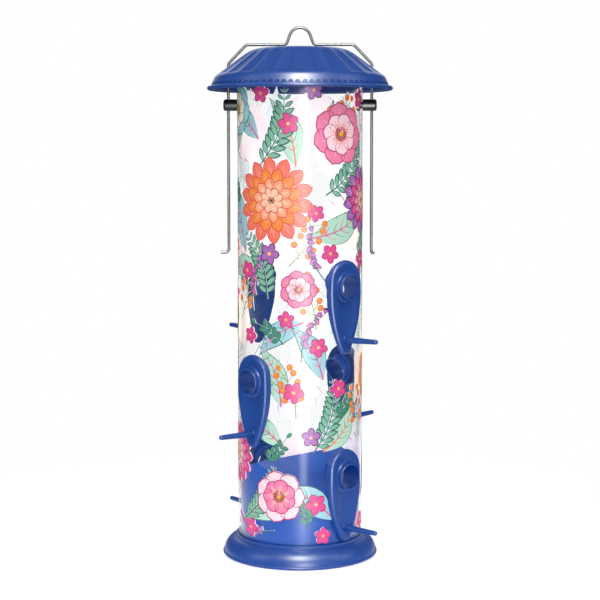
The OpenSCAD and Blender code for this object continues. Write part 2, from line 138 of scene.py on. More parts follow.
# %% [markdown]
# ## Light and floor
# Plastic shows its form by what it mirrors, so the lamps are soft boxes. The key stands high at
# the front, with one at each side, one overhead, one behind and a fill in front. One aimed low
# draws the gleam on the base, an upright strip draws the gleam on round walls, and a faint rim
# light behind picks out the ridges of the lid.
# The floor is pale and fades into the pale surroundings. These look bright behind the feeder
# but light it only softly, and show even less in gloss, so that the blue stays deep.

# %% World and floor
PAPER_SEEN, PAPER_LIGHT, PAPER_IN_GLOSS = 1.0, 0.27, 0.14
FLOOR_FULL, FLOOR_GONE, FLOOR_LIFT = 0.06, 0.45, 0.3   # metres from the middle, and its own light
world = bpy.data.worlds.new("studio")
bpy.context.scene.world = world
world.use_nodes = True
tree = world.node_tree
tree.nodes.clear()
ray = add_node(tree, "ShaderNodeLightPath")
dim = add_node(tree, "ShaderNodeMapRange", None, {"Value": ray.outputs["Is Glossy Ray"]})
dim.inputs["To Min"].default_value = PAPER_LIGHT
dim.inputs["To Max"].default_value = PAPER_IN_GLOSS
room = add_node(tree, "ShaderNodeBackground", None, {"Strength": dim.outputs["Result"]},
                Color=(1, 1, 1, 1))
paper = add_node(tree, "ShaderNodeBackground", Color=(1, 1, 1, 1), Strength=PAPER_SEEN)
seen = add_node(tree, "ShaderNodeMixShader", None,
                {0: ray.outputs["Is Camera Ray"], 1: room.outputs[0], 2: paper.outputs[0]})
tree.links.new(seen.outputs[0], add_node(tree, "ShaderNodeOutputWorld").inputs["Surface"])

bpy.ops.object.select_all(action="DESELECT")
bpy.ops.mesh.primitive_circle_add(vertices=96, radius=6, fill_type="NGON", location=(0, 0, 0))
floor = bpy.context.object
floor.name = "studio_floor"
floor_paint, tree = new_material("matt_white_studio_floor")
where = add_node(tree, "ShaderNodeTexCoord")
length = add_node(tree, "ShaderNodeVectorMath", {"operation": "LENGTH"},
                  {0: where.outputs["Object"]})
fade = add_node(tree, "ShaderNodeMapRange", {"interpolation_type": "SMOOTHSTEP"},
                {"Value": length.outputs["Value"]})
fade.inputs["From Min"].default_value = FLOOR_FULL
fade.inputs["From Max"].default_value = FLOOR_GONE
matt = add_node(tree, "ShaderNodeBsdfDiffuse", Color=(0.96, 0.96, 0.96, 1))
glow = add_node(tree, "ShaderNodeEmission", Color=(1, 1, 1, 1), Strength=FLOOR_LIFT)
paper = add_node(tree, "ShaderNodeAddShader", None, {0: matt.outputs[0], 1: glow.outputs[0]})
gone = add_node(tree, "ShaderNodeBsdfTransparent", Color=(1, 1, 1, 1))
blend = add_node(tree, "ShaderNodeMixShader", None,
                 {0: fade.outputs["Result"], 1: paper.outputs[0], 2: gone.outputs[0]})
show(tree, blend.outputs[0])
wear(floor, floor_paint)
print("floor fades out", FLOOR_GONE, "m from the middle")


# %% [markdown]
# Every soft box is placed in metres, aimed at a point, and has a width, a height and a power in
# watts. Some are seen only in gloss and some give only soft light, so that a highlight can be
# placed without lighting the whole side, and a side lit without a second highlight.

# %% Lamps
def soft_box(name, place, aim, size, power):
    data = bpy.data.lights.new(name, "AREA")
    data.shape = "RECTANGLE"
    data.size, data.size_y = size
    data.energy = power
    lamp = bpy.data.objects.new(name, data)
    lamp.location = place
    lamp.rotation_euler = (Vector(aim) - Vector(place)).to_track_quat("-Z", "Y").to_euler()
    bpy.context.scene.collection.objects.link(lamp)
    return lamp


soft_box("key_box", (0.06, -0.95, 1.46), (0, 0, 0.3), (0.9, 0.3), 6.5)
soft_box("left_box", (-1.3, -0.5, 0.95), (0, 0, 0.3), (0.5, 0.9), 6)
soft_box("right_box", (1.3, -0.4, 1.0), (0, 0, 0.3), (0.5, 0.9), 7)
# Three lamps show only as gloss, and three give only soft light.
shine = soft_box("shine_box", (0.03, -0.78, 1.11), (0, -0.07, 0.02), (0.26, 0.6), 36)
strip = soft_box("strip_box", (0.2, -1.5, -0.1), (0, 0, 0.05), (0.3, 1.4), 46)
rim = soft_box("rim_box", (-0.1, 1.5, 0.95), (0, 0, 0.4), (1.4, 0.7), 5)
fill = soft_box("fill_box", (0, -1.5, 0.3), (0, 0, 0.2), (0.6, 0.6), 11)
top = soft_box("top_box", (0, 0.5, 1.7), (0, 0, 0.3), (1.2, 1.2), 5)
back = soft_box("back_box", (-0.3, 1.5, 0.9), (0, 0, 0.2), (0.8, 0.8), 9)
shine.visible_diffuse = strip.visible_diffuse = rim.visible_diffuse = False
fill.visible_glossy = back.visible_glossy = top.visible_glossy = False
print("9 soft boxes")


# %% [markdown]
# ## Blue polypropylene
# The lid, base, ports, rings and deflector are injection-moulded polypropylene with the colour
# all through it. It is a little waxy: soft wide highlights, a faint glow under the skin where it
# is thin, and a skin that varies slightly in gloss from the polished mould. The deflector's blue
# is painted lighter: painted light, standing in for the light that lifts it behind the clear wall.
# The guides and their caps are black acetal, a harder and darker plastic.

# %% Blue moulded polypropylene
def moulded_plastic(name, body, shade, grain_mm, rough):
    material, tree = new_material(name)
    where = add_node(tree, "ShaderNodeTexCoord")
    clouds = add_node(tree, "ShaderNodeTexNoise", None, {"Vector": where.outputs["Object"]},
                      Scale=1 / (45 * MM), Detail=3.0, Roughness=0.5)
    tint = add_node(tree, "ShaderNodeMixRGB", None, {"Fac": clouds.outputs["Fac"]})
    tint.inputs["Color1"].default_value = linear(shade)
    tint.inputs["Color2"].default_value = linear(body)
    gloss = add_node(tree, "ShaderNodeMapRange", None, {"Value": clouds.outputs["Fac"]})
    gloss.inputs["To Min"].default_value = rough * 0.82
    gloss.inputs["To Max"].default_value = rough * 1.18
    skin = add_node(tree, "ShaderNodeTexNoise", None, {"Vector": where.outputs["Object"]},
                    Scale=1 / (grain_mm * MM), Detail=2.0)
    bump = add_node(tree, "ShaderNodeBump", None, {"Height": skin.outputs["Fac"]},
                    Strength=0.06, Distance=0.05 * MM)
    plastic = add_node(tree, "ShaderNodeBsdfPrincipled", None,
                       {"Base Color": tint.outputs[0], "Roughness": gloss.outputs["Result"],
                        "Normal": bump.outputs["Normal"]}, IOR=1.49)
    plastic.inputs["Subsurface Weight"].default_value = 0.08
    plastic.inputs["Subsurface Scale"].default_value = 1.2 * MM
    show(tree, plastic.outputs[0])
    return material


# Deep waxy blue: the broad colour of the whole feeder, with wide soft highlights.
blue_plastic = moulded_plastic("blue_moulded_polypropylene", "#0D4699", "#0B3F8C", 0.6, 0.38)
# The same plastic painted a lighter blue: painted light, so it reads as a bright band behind
# the clear wall.
deflector_painted_lighter = moulded_plastic("blue_polypropylene_painted_lighter", "#195ABE", "#1451B0",
                                    0.6, 0.38)
# Nearly black with a tighter gleam: small dark accents at both sides.
black_plastic = moulded_plastic("black_moulded_acetal", "#17181C", "#111216", 0.5, 0.34)
print("blue, light blue and black plastics")

# %% [markdown]
# ## Clear polycarbonate
# The tube is extruded polycarbonate. It lets nearly all light straight through, mirrors a little
# more where it turns away from the eye, and carries very faint lines along its length from the
# extrusion die. A clear tube this thin hardly bends what is seen through it, so light passes
# straight on and only the mirror part follows the wall.

# %% Clear extruded polycarbonate
EDGE_RISE, MIRROR_EDGE_ON, MIRROR_FACE_ON = 3.3, 0.62, 0.004
clear_plastic, tree = new_material("clear_extruded_polycarbonate")
where = add_node(tree, "ShaderNodeTexCoord")
lines = add_node(tree, "ShaderNodeMapping", None, {"Vector": where.outputs["Object"]})
lines.inputs["Scale"].default_value = (1 / (3 * MM), 1 / (3 * MM), 1 / (400 * MM))
die = add_node(tree, "ShaderNodeTexNoise", None, {"Vector": lines.outputs[0]},
               Scale=1.0, Detail=2.0)
bump = add_node(tree, "ShaderNodeBump", None, {"Height": die.outputs["Fac"]},
                Strength=0.05, Distance=0.1 * MM)
facing = add_node(tree, "ShaderNodeLayerWeight", None, {"Normal": bump.outputs["Normal"]},
                  Blend=0.5)
steep = add_node(tree, "ShaderNodeMath", {"operation": "POWER"}, {0: facing.outputs["Facing"]})
steep.inputs[1].default_value = EDGE_RISE
edge_on = add_node(tree, "ShaderNodeMath", {"operation": "MULTIPLY_ADD"}, {0: steep.outputs[0]})
edge_on.inputs[1].default_value = MIRROR_EDGE_ON
edge_on.inputs[2].default_value = MIRROR_FACE_ON
straight = add_node(tree, "ShaderNodeBsdfTransparent", Color=(0.985, 0.99, 0.992, 1))
mirror = add_node(tree, "ShaderNodeBsdfGlossy", None, {"Normal": bump.outputs["Normal"]},
                  Color=(1, 1, 1, 1), Roughness=0.2)
wall = add_node(tree, "ShaderNodeMixShader", None,
                {0: edge_on.outputs[0], 1: straight.outputs[0], 2: mirror.outputs[0]})
show(tree, wall.outputs[0])
print("clear tube: mirrors", MIRROR_FACE_ON, "face on and", MIRROR_EDGE_ON, "edge on")

# %% [markdown]
# ## Metals
# The bail is drawn steel wire with a zinc coat gone dull: a fine upright pull along its legs and
# a soft mid-grey shine. The base screws are brighter zinc-plated steel, seen only from below.

# %% Zinc-plated wire and screws
def plated_steel(name, light, dark, scale, rough, metal):
    material, tree = new_material(name)
    where = add_node(tree, "ShaderNodeTexCoord")
    stretch = add_node(tree, "ShaderNodeMapping", None, {"Vector": where.outputs["Object"]})
    stretch.inputs["Scale"].default_value = scale
    draw = add_node(tree, "ShaderNodeTexNoise", None, {"Vector": stretch.outputs[0]},
                    Scale=1.0, Detail=4.0, Roughness=0.6)
    tint = add_node(tree, "ShaderNodeMixRGB", None, {"Fac": draw.outputs["Fac"]})
    tint.inputs["Color1"].default_value = linear(dark)
    tint.inputs["Color2"].default_value = linear(light)
    gloss = add_node(tree, "ShaderNodeMapRange", None, {"Value": draw.outputs["Fac"]})
    gloss.inputs["To Min"].default_value = rough * 0.75
    gloss.inputs["To Max"].default_value = rough * 1.3
    bump = add_node(tree, "ShaderNodeBump", None, {"Height": draw.outputs["Fac"]},
                    Strength=0.06, Distance=0.02 * MM)
    steel = add_node(tree, "ShaderNodeBsdfPrincipled", None,
                     {"Base Color": tint.outputs[0], "Roughness": gloss.outputs["Result"],
                      "Normal": bump.outputs["Normal"]}, Metallic=metal)
    show(tree, steel.outputs[0])
    return material


wire_steel = plated_steel("zinc_plated_drawn_wire", "#686A6A", "#585A5A",
                          (1 / (0.25 * MM), 1 / (0.25 * MM), 1 / (12 * MM)), 0.42, 0.6)
screw_steel = plated_steel("zinc_plated_screw_steel", "#A4A6A2", "#7E817E",
                           (1 / (0.8 * MM),) * 3, 0.3, 1.0)
print("wire and screw steel")

# %% Give every solid its finish
for name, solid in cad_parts.items():
    if name == "tube":
        wear(solid, clear_plastic)
    elif name == "bail":
        wear(solid, wire_steel)
    elif name == "base_screws":
        wear(solid, screw_steel)
    elif name.startswith("guide"):
        wear(solid, black_plastic)
    elif name == "seed_deflector":
        # The deflector wears the same blue painted lighter, as painted light.
        wear(solid, deflector_painted_lighter)
    else:
        wear(solid, blue_plastic)
print("finished", len(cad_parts), "solids")


# %% [markdown]
# ## The fluted rain lid
# The lid is one thin moulding: a nearly flat crown, a straight slope, a soft shoulder, a short
# flared skirt and a rolled bead. It is turned like a bowl. Its outline is drawn as a line in
# the upright plane and spun round the middle, which keeps every ring true. Then the flutes are
# pressed into the slope, and a row of small scallops and the two wire holes are cut.

# %% Draw the lid's outline
def arc_points(x, z, r, first, last, steps):
    return [(x + r * math.cos(math.radians(first + (last - first) * k / steps)),
             z + r * math.sin(math.radians(first + (last - first) * k / steps)))
            for k in range(steps + 1)]


def line_points(a, b, steps):
    return [(a[0] + (b[0] - a[0]) * k / steps, a[1] + (b[1] - a[1]) * k / steps)
            for k in range(1, steps + 1)]


def soft_corner(before, corner, after, reach, steps=6):
    def towards(p):
        away = math.hypot(p[0] - corner[0], p[1] - corner[1])
        return (corner[0] + (p[0] - corner[0]) * reach / away,
                corner[1] + (p[1] - corner[1]) * reach / away)
    p, q = towards(before), towards(after)
    return [((1 - t) ** 2 * p[0] + 2 * t * (1 - t) * corner[0] + t * t * q[0],
             (1 - t) ** 2 * p[1] + 2 * t * (1 - t) * corner[1] + t * t * q[1])
            for t in [k / steps for k in range(steps + 1)]]


# Heights and radii in mm, each point as radius and height.
LID_TOP = 413.5
CROWN_R, CROWN_ROUND, SHOULDER = 30.0, 25.0, (69.0, 390.9)
SKIRT_FOOT, BEAD, BEAD_R, WALL = (72.3, 383.2), (73.6, 381.5), 1.7, 2.6
across, drop = SHOULDER[0] - CROWN_R, SHOULDER[1] - (LID_TOP - CROWN_ROUND)
SLOPE = (90 - math.degrees(math.acos(CROWN_ROUND / math.hypot(across, drop)))
         - math.degrees(math.atan2(drop, across)))
crown = arc_points(CROWN_R, LID_TOP - CROWN_ROUND, CROWN_ROUND, 90, 90 - SLOPE, 10)
corner = soft_corner(crown[-1], SHOULDER, SKIRT_FOOT, 2.2)
outer = ([(0.0, LID_TOP)] + line_points((0, LID_TOP), crown[0], 10)[:-1] + crown
         + line_points(crown[-1], corner[0], 26)[:-1] + corner
         + line_points(corner[-1], SKIRT_FOOT, 6))
bead = arc_points(*BEAD, BEAD_R, 112, -150, 14)
under = math.tan(math.radians(SLOPE))
lift = WALL / math.cos(math.radians(SLOPE))


def under_face(r):
    return SHOULDER[1] + (SHOULDER[0] - r) * under - lift


# Under the lid a ring from seat_in to pilot drops into the tube, and a ledge from pilot to
# seat_out stands just over the tube's end.
seat_in, pilot, seat_out = 45.9, 48.5, 52.2
LEDGE, PILOT_FOOT = TUBE_TOP + 0.3, TUBE_TOP - 6
SKIRT_TOP_IN = (67.2, 388.6)
inner = ([(SKIRT_FOOT[0] - WALL, BEAD[1]), SKIRT_TOP_IN, (seat_out, under_face(seat_out)),
          (seat_out, LEDGE), (pilot, LEDGE), (pilot, PILOT_FOOT),
          (seat_in, PILOT_FOOT), (seat_in, under_face(seat_in))]
         + arc_points(CROWN_R, LID_TOP - CROWN_ROUND, CROWN_ROUND - WALL, 90 - SLOPE, 90, 6)
         + [(0.0, LID_TOP - WALL)])
outline = outer + bead + inner
print("lid outline:", len(outline), "points, slope", round(SLOPE, 1), "degrees")


# %% Spin the outline into a lid
def start_mesh(name, points, edges, faces=()):
    data = bpy.data.meshes.new(name)
    data.from_pydata([tuple(v * MM for v in p) for p in points], list(edges), list(faces))
    piece = bpy.data.objects.new(name, data)
    bpy.context.scene.collection.objects.link(piece)
    return piece


def pick(piece):
    bpy.ops.object.select_all(action="DESELECT")
    piece.select_set(True)
    bpy.context.view_layer.objects.active = piece


def turn_on_lathe(name, points, steps):
    piece = start_mesh(name, [(x, 0, z) for x, z in points],
                       [(k, k + 1) for k in range(len(points) - 1)])
    pick(piece)
    bpy.ops.object.mode_set(mode="EDIT")
    bpy.ops.mesh.select_all(action="SELECT")
    bpy.ops.mesh.spin(steps=steps, angle=2 * math.pi, center=(0, 0, 0), axis=(0, 0, 1))
    bpy.ops.mesh.select_all(action="SELECT")
    bpy.ops.mesh.remove_doubles(threshold=0.002 * MM)
    bpy.ops.mesh.normals_make_consistent(inside=False)
    bpy.ops.object.mode_set(mode="OBJECT")
    return piece


FLUTES, FLUTE_DEPTH, STEPS_A_FLUTE = 27, 0.8, 16
lid_piece = turn_on_lathe("fluted_lid", outline, FLUTES * STEPS_A_FLUTE)
print("lid turned:", len(lid_piece.data.polygons), "faces")


# %% [markdown]
# A flute is a broad shallow hollow between two narrow ridges. Points on the outer face of the
# slope sink along the slope's normal: not at all on a ridge, most in mid flute, and the flute
# fades in from the crown and ends in a soft round at the shoulder.

# %% Press the flutes
def ease(a, b, x):
    t = min(1.0, max(0.0, (x - a) / (b - a)))
    return t * t * (3 - 2 * t)


FADE_IN, FADE_OUT, SURFACE_TOLERANCE = (34, 50), (64.5, 68.4), 1.0   # radii and depth in mm
sin_s, cos_s = math.sin(math.radians(SLOPE)), math.cos(math.radians(SLOPE))
pressed = 0
for vertex in lid_piece.data.vertices:
    x, y, z = (c / MM for c in vertex.co)
    r = math.hypot(x, y)
    surface = SHOULDER[1] + (SHOULDER[0] - r) * under
    if not FADE_IN[0] <= r <= FADE_OUT[1] + 0.2 or z < surface - SURFACE_TOLERANCE:
        continue
    around = math.atan2(y, x) * FLUTES / 2
    ridge = abs(math.cos(around)) ** 5
    depth = FLUTE_DEPTH * (1 - ridge) * ease(*FADE_IN, r) * (1 - ease(*FADE_OUT, r))
    vertex.co.x -= x / r * depth * sin_s * MM
    vertex.co.y -= y / r * depth * sin_s * MM
    vertex.co.z -= depth * cos_s * MM
    pressed += 1
print(pressed, "points pressed into", FLUTES, "flutes")


# %% [markdown]
# The scallops are shallow half-disc pockets in the outside of the skirt, just above the bead.
# Two upright rods cut the holes that the bail's legs slide in. All the cutters are one mesh, so
# one cut makes them all.

# %% Cut the scallops and the wire holes
def rod_faces(n):
    return ([list(range(n))[::-1], list(range(n, 2 * n))]
            + [[k, (k + 1) % n, n + (k + 1) % n, n + k] for k in range(n)])


SCALLOPS, SCALLOP_R, SCALLOP_IN, SCALLOP_OUT = 84, 2.25, 70.9, 78
HOLE_R, HOLE_LOW, HOLE_HIGH = 2.0, 384, 408
half_disc = [(y, z + SKIRT_FOOT[1] + 0.15) for y, z in arc_points(0, 0, SCALLOP_R, 0, 180, 12)]
every_point, every_face = [], []


def add_rod(points):
    every_face.extend([i + len(every_point) for i in face] for face in rod_faces(len(points) // 2))
    every_point.extend(points)


for k in range(SCALLOPS):
    c, s = math.cos(2 * math.pi * k / SCALLOPS), math.sin(2 * math.pi * k / SCALLOPS)
    add_rod([(c * x - s * y, s * x + c * y, z) for x in (SCALLOP_IN, SCALLOP_OUT)
             for y, z in half_disc])
for side in (-1, 1):
    add_rod([(side * LEG + x, y, z) for z in (HOLE_LOW, HOLE_HIGH)
             for x, y in arc_points(0, 0, HOLE_R, 0, 337.5, 15)])
cutter = start_mesh("lid_cutter", every_point, (), every_face)
pick(cutter)
bpy.ops.object.mode_set(mode="EDIT")
bpy.ops.mesh.select_all(action="SELECT")
bpy.ops.mesh.normals_make_consistent(inside=False)
bpy.ops.object.mode_set(mode="OBJECT")
pick(lid_piece)
cut = lid_piece.modifiers.new("scallops", "BOOLEAN")
cut.operation, cut.object, cut.solver = "DIFFERENCE", cutter, "EXACT"
bpy.ops.object.modifier_apply(modifier=cut.name)
bpy.data.objects.remove(cutter)
bpy.ops.object.shade_smooth_by_angle(angle=math.radians(35))
wear(lid_piece, blue_plastic)
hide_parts("lid")
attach(lid_piece, "lid")
print("lid finished:", len(lid_piece.data.polygons), "faces")


# %% [markdown]
# ## The wire bail
# One steel wire is bent cold into the bail: a foot, a leg, a shoulder over the lid, the hanging
# loop, and the same again down the other side. A line of points follows its middle, with a true
# arc at each bend, and a round section runs along the line. Drawing leaves fine lines along the
# wire, and as most of it stands upright, the finish is stretched upright.

# %% Bend the wire
WIRE_R, SPAN, BEND, ABOVE_SLOPE, ABOVE_CROWN = 1.2, 43.5, 3.0, 0.9, 1.9
GUIDE_DROP, LEG_BELOW = 28, 119.8       # guides under the tube's top, feet under the guides
FOOT_Z = TUBE_TOP - GUIDE_DROP - LEG_BELOW
ELBOW = SHOULDER[1] + (SHOULDER[0] - LEG) * under + WIRE_R / cos_s + ABOVE_SLOPE
SPAN_Z = LID_TOP + ABOVE_CROWN + WIRE_R
LOOP_R, FLARE = 8.7, math.radians(20)
LOOP_Z = cad_high.z / MM - WIRE_R - LOOP_R
KINK = (LOOP_R + (LOOP_Z - SPAN_Z) * math.sin(FLARE)) / math.cos(FLARE)


def bent_line(corners, steps=10):
    points = [Vector(corners[0][0])]
    for (before, _), (corner, radius), (after, _) in zip(corners, corners[1:], corners[2:]):
        before, corner, after = Vector(before), Vector(corner), Vector(after)
        one, two = (before - corner).normalized(), (after - corner).normalized()
        half = one.angle(two) / 2
        middle = corner + (one + two).normalized() * radius / math.sin(half)
        start = corner + one * radius / math.tan(half) - middle
        end = corner + two * radius / math.tan(half) - middle
        turn = start.rotation_difference(end)
        for k in range(steps + 1):
            points.append(middle + Matrix.Rotation(turn.angle * k / steps, 3, turn.axis) @ start)
    return points + [Vector(corners[-1][0])]


def foot(side, out, reach=6.5):
    a = math.radians(out)
    return (side * LEG + reach * math.cos(a), reach * math.sin(a), FOOT_Z)


apex = (0, 0, LOOP_Z + LOOP_R / math.sin(FLARE))
corners = [(foot(-1, 188), 0), ((-LEG, 0, FOOT_Z), BEND), ((-LEG, 0, ELBOW), BEND + 1),
           ((-SPAN, 0, SPAN_Z), BEND + 2), ((-KINK, 0, SPAN_Z), BEND), (apex, LOOP_R),
           ((KINK, 0, SPAN_Z), BEND), ((SPAN, 0, SPAN_Z), BEND + 2), ((LEG, 0, ELBOW), BEND + 1),
           ((LEG, 0, FOOT_Z), BEND), (foot(1, -75), 0)]
line = bent_line(corners)
curve = bpy.data.curves.new("wire_bail", "CURVE")
curve.dimensions = "3D"
curve.bevel_depth = WIRE_R * MM
curve.bevel_resolution = 6
curve.use_fill_caps = True
spline = curve.splines.new("POLY")
spline.points.add(len(line) - 1)
for point, place in zip(spline.points, line):
    point.co = (*(place * MM), 1)
bail_piece = bpy.data.objects.new("wire_bail", curve)
bpy.context.scene.collection.objects.link(bail_piece)
pick(bail_piece)
bpy.ops.object.convert(target="MESH")
bail_piece = bpy.context.object
bpy.ops.object.shade_smooth_by_angle(angle=math.radians(40))
wear(bail_piece, wire_steel)
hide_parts("bail")
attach(bail_piece, "bail")
wire_length = sum((b - a).length for a, b in zip(line, line[1:]))
print("wire:", len(line), "points,", round(wire_length), "mm long")


# %% [markdown]
# ## A floral print
# The tube carries a printed pattern: flowers, sprays and leaves in clear flat colours, like cut
# paper laid on the plastic. It is drawn flat first, in millimetres: across is the way round the
# tube and up is up the tube. Every shape is one outline with one ink, and in a motif each new
# shape lies on the ones before it.

# %% The flat sheet and its inks
INKS = {
    "coral": "#F0705E", "deep_coral": "#D9483F", "apricot": "#F8A27C", "peach": "#FBC6A6",
    "orange": "#F2862E", "amber": "#F5A828", "ochre": "#D99B22", "magenta": "#E0448E",
    "deep_magenta": "#B02A72", "rose": "#F07FA6", "blush": "#FBD3DC", "mint": "#B4DCC8",
    "sage": "#7FB79E", "fern": "#3F8A72", "pine": "#1E5F55",
    "sky": "#9CCFDA", "violet": "#A765B4", "plum": "#5A2058", "cream": "#FFF3E0",
    "stem": "#8A9A5B",
}
sheet = []          # each shape: ink, outline, and the level that it lies on
LEVEL = [0]


def put(ink, outline):
    sheet.append((ink, outline, LEVEL[0]))


def placed(points, at, turn=0.0):
    c, s = math.cos(math.radians(turn)), math.sin(math.radians(turn))
    return [(at[0] + c * x - s * y, at[1] + s * x + c * y) for x, y in points]


# %% [markdown]
# A petal or a leaf is a closed outline along its own middle line. Three numbers shape it: how
# long, how wide, and how far along it is widest. A ribbon is a line with a width that tapers.

# %% Petals, ribbons and discs
def petal(long, wide, widest=0.6, round_tip=0.8, steps=9):
    side = []
    for k in range(steps + 1):
        t = k / steps
        rise = t / widest if t < widest else (1 - t) / (1 - widest)
        rise = math.sin(rise * math.pi / 2) ** (1.0 if t < widest else round_tip)
        side.append((wide / 2 * rise, long * t))
    return side + [(-x, y) for x, y in reversed(side[1:-1])]


def ribbon(points, start, end):
    left, right = [], []
    for k, (x, y) in enumerate(points):
        x0, y0 = points[max(k - 1, 0)]
        x1, y1 = points[min(k + 1, len(points) - 1)]
        away = math.hypot(x1 - x0, y1 - y0) or 1.0
        half = (start + (end - start) * k / (len(points) - 1)) / 2
        nx, ny = -(y1 - y0) / away * half, (x1 - x0) / away * half
        left.append((x + nx, y + ny))
        right.append((x - nx, y - ny))
    return left + right[::-1]


def disc(radius, steps=14):
    return [(radius * math.cos(2 * math.pi * k / steps), radius * math.sin(2 * math.pi * k / steps))
            for k in range(steps)]


def bow(long, sag, steps):
    return [(sag * math.sin(math.pi * k / steps), long * k / steps) for k in range(steps + 1)]


# %% [markdown]
# ### Flowers
# A double dahlia is rings of petals, longest outside, each with a darker edge under it and a
# fine pale stroke. An anemone has a few broad petals and a dark eye. A small star flower and a
# bell fill the gaps.

# %% Draw the flowers
def ring_of(count, at, turn, reach, long, wide, edge, fill, stroke, **form):
    for k in range(count):
        a = turn + k * 360 / count
        foot = placed([(0, reach)], at, a)[0]
        put(edge, placed(petal(long + 0.9, wide + 1.3, **form), foot, a))
        put(fill, placed(petal(long, wide, **form), foot, a))
        if stroke:
            for lean in (-14, 0, 14):
                line = [(0, long * 0.12), (0, long * (0.62 if lean else 0.78))]
                put(stroke, placed(ribbon(placed(line, (0, 0), lean * 0.7), 0.7, 0.2), foot, a))


def dahlia(at, size, turn, inks=("deep_coral", "coral", "peach", "orange", "apricot")):
    edge, outer, stroke, middle, inner = inks
    ring_of(14, at, turn, 0.40 * size, 0.60 * size, 0.30 * size, edge, outer, stroke, widest=0.62)
    ring_of(12, at, turn + 11, 0.24 * size, 0.50 * size, 0.27 * size, edge, middle, stroke,
            widest=0.6)
    ring_of(10, at, turn + 4, 0.12 * size, 0.40 * size, 0.23 * size, edge, inner, "cream",
            widest=0.6)
    ring_of(8, at, turn + 17, 0.03 * size, 0.27 * size, 0.17 * size, edge, "peach", None,
            widest=0.6)
    put("plum", placed(disc(0.085 * size), at))
    for k in range(9):
        spot = placed([(0, 0.055 * size)], at, k * 40)[0]
        put("amber", placed(disc(0.016 * size, 8), spot))


def anemone(at, size, turn, inks=("deep_magenta", "rose", "blush", "plum")):
    edge, fill, stroke, eye = inks
    ring_of(7, at, turn, 0.06 * size, 0.92 * size, 0.74 * size, edge, fill, stroke,
            widest=0.66, round_tip=0.55)
    ring_of(7, at, turn + 26, 0.03 * size, 0.62 * size, 0.50 * size, edge, stroke, fill,
            widest=0.66, round_tip=0.55)
    put(edge, placed(disc(0.24 * size, 18), at))
    put(eye, placed(disc(0.17 * size, 16), at))
    for k in range(16):
        a = turn + k * 22.5
        tip = placed([(0, 0.31 * size)], at, a)[0]
        put("amber", ribbon([at, tip], 0.012 * size, 0.02 * size))
        put("ochre" if k % 2 else "amber", placed(disc(0.026 * size, 8), tip))
    put("amber", placed(disc(0.07 * size, 12), at))


def star_flower(at, size, turn, inks):
    edge, fill, eye = inks
    ring_of(5, at, turn, 0.02 * size, 0.9 * size, 0.6 * size, edge, fill, None,
            widest=0.6, round_tip=0.7)
    put(eye, placed(disc(0.2 * size, 10), at))
    put("cream", placed(disc(0.08 * size, 8), at))


def bell(at, turn, size, inks):
    edge, fill, lip = inks
    put(edge, placed(petal(size * 1.08, size * 0.78, widest=0.72, round_tip=0.35), at, turn))
    put(fill, placed(petal(size, size * 0.66, widest=0.72, round_tip=0.35), at, turn))
    put(lip, placed(petal(size * 0.8, size * 0.16, widest=0.7), at, turn))


# %% [markdown]
# ### Leaves and sprays
# A long leaf has a midrib and side veins in a second ink. A frond is pairs of leaflets along a
# bowed stem, and a twig is a short one. A berry spray and a bell spray are small things on a
# branching stem.

# %% Draw the leaves and sprays
def long_leaf(at, turn, long, wide, inks, veins=6, bend=0.12):
    edge, fill, rib = inks

    def bent(points):
        return placed([(x + bend * long * math.sin(math.pi * y / long * 0.9), y)
                       for x, y in points], at, turn)

    put(edge, bent(petal(long + 1.2, wide + 1.3, widest=0.42, round_tip=1.3, steps=14)))
    put(fill, bent(petal(long, wide, widest=0.42, round_tip=1.3, steps=14)))
    for k in range(1, veins + 1):
        y = long * (0.1 + 0.66 * k / veins)
        reach = wide * 0.34 * math.sin(math.pi * min(0.98, 0.12 + 0.8 * k / veins)) ** 0.6
        for side in (-1, 1):
            put(rib if k % 2 else edge,
                bent(ribbon([(0, y), (side * reach * 0.55, y + reach * 0.5),
                             (side * reach, y + reach * 1.2)], 0.75, 0.2)))
    put(rib, bent(ribbon([(0, long * t / 12) for t in range(12)], 1.3, 0.4)))


def frond(at, turn, long, wide, inks=("pine", "sage"), pairs=11, sag=0.12):
    edge, fill = inks
    spine = placed(bow(long, sag * long, 16), at, turn)
    for k in range(pairs):
        t = (k + 1) / (pairs + 0.6)
        j = min(15, int(t * 16))
        x0, y0 = spine[j]
        x1, y1 = spine[j + 1]
        part = t * 16 - j
        foot = (x0 + (x1 - x0) * part, y0 + (y1 - y0) * part)
        ahead = math.degrees(math.atan2(y1 - y0, x1 - x0)) - 90
        reach = wide / 2 * math.sin(math.pi * min(0.97, 0.22 + 0.74 * t)) ** 0.8
        for side in (-1, 1):
            a = ahead + side * 52
            put(edge, placed(petal(reach * 1.07, reach * 0.44, widest=0.5, steps=6), foot, a))
            put(fill, placed(petal(reach * 0.93, reach * 0.3, widest=0.5, steps=6), foot, a))
    put(edge, ribbon(spine, 1.2, 0.4))


def berry_spray(at, turn, long, inks=("stem", "orange", "amber"), count=9, berry=2.3, sag=0.1):
    stalk, fill, light = inks
    spine = placed(bow(long, sag * long, 16), at, turn)
    put(stalk, ribbon(spine, 1.0, 0.5))
    for k in range(count):
        j = 3 + int(12 * k / count)
        side = -1 if k % 2 else 1
        tip = placed([(side * long * 0.16, long * 0.13)], spine[j], turn)[0]
        put(stalk, ribbon([spine[j], tip], 0.7, 0.5))
        put("deep_coral", placed(disc(berry * 1.18, 10), tip))
        put(fill, placed(disc(berry, 10), tip))
        put(light, placed(disc(berry * 0.4, 8), (tip[0] - berry * 0.25, tip[1] + berry * 0.3)))
    put(fill, placed(disc(berry, 10), spine[-1]))


